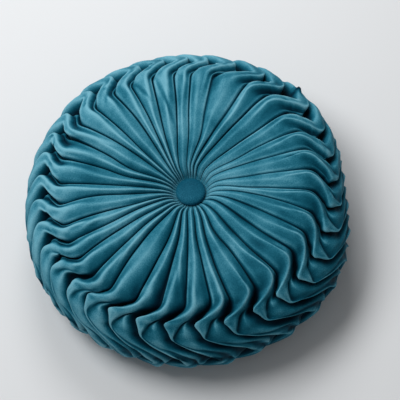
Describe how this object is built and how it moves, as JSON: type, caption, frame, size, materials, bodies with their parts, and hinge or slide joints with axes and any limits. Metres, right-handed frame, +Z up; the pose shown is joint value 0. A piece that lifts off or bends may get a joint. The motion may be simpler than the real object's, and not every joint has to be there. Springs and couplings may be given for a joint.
{
  "type": "pleated round cushion",
  "caption": "Round filled velvet cushion, pleated from a covered button on each side, its rim stitched into a lattice of slanting folds.",
  "frame": {"origin": "middle of the cushion on the surface that it lies on", "axes": "+Z up out of the cushion's face, through both buttons; the front of the cushion is towards -Y"},
  "size_m": [0.3974, 0.3977, 0.127],
  "materials": {
    "velvet": "short pile velvet, soft sheen along the fold ridges",
    "button_cloth": "the same velvet stretched smooth over a button shell"
  },
  "bodies": {
    "root": {"cushion": "velvet", "button_top": "button_cloth", "button_back": "button_cloth"}
  },
  "joints": []
}
